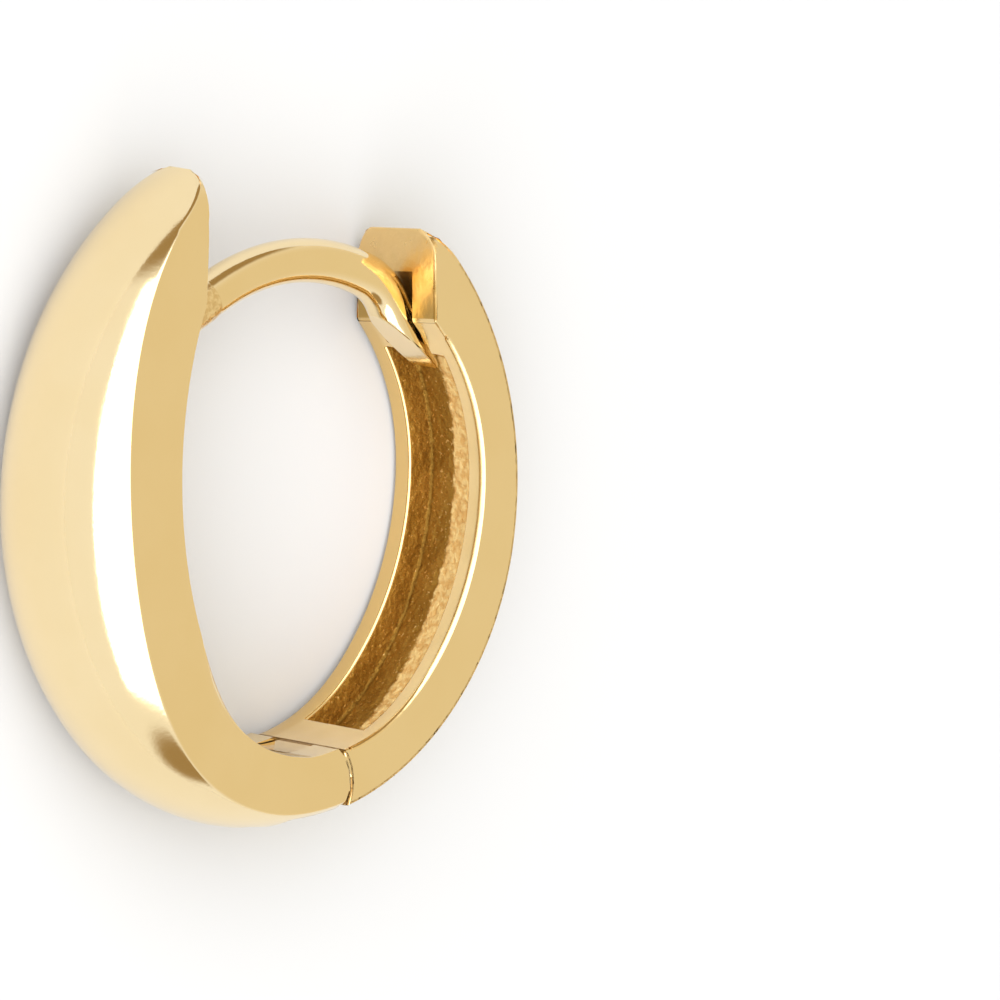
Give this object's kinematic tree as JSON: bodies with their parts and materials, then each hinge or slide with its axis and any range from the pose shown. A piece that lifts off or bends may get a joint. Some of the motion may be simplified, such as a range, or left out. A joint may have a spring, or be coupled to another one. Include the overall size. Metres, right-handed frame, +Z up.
{
  "type": "creole hoop earring",
  "caption": "Small gold creole hoop earring: a wide domed front half hinged at the bottom to a slim channelled back half, with a curved ear post that clicks into the back half's catch.",
  "frame": {"origin": "middle of the part's footprint, on the surface that the closed hoop lies on", "axes": "+Y up the hoop from the hinge to the ear post, +X from the domed front half to the back half, +Z up from the surface, within 4 degrees of the hoop's own axis"},
  "size_m": [0.013, 0.0143, 0.0041],
  "materials": {
    "gold": "polished yellow gold"
  },
  "bodies": {
    "front": {"front_arch": "gold", "hinge_pin": "gold"},
    "back": {"back_arch": "gold"}
  },
  "joints": [
    {"name": "hinge", "type": "hinge", "parent": "front", "child": "back", "pos_m": [0.00035, -0.00628, 0.00176], "axis": [-0.0633, 0, -0.998], "range_deg": [0, 60]}
  ]
}
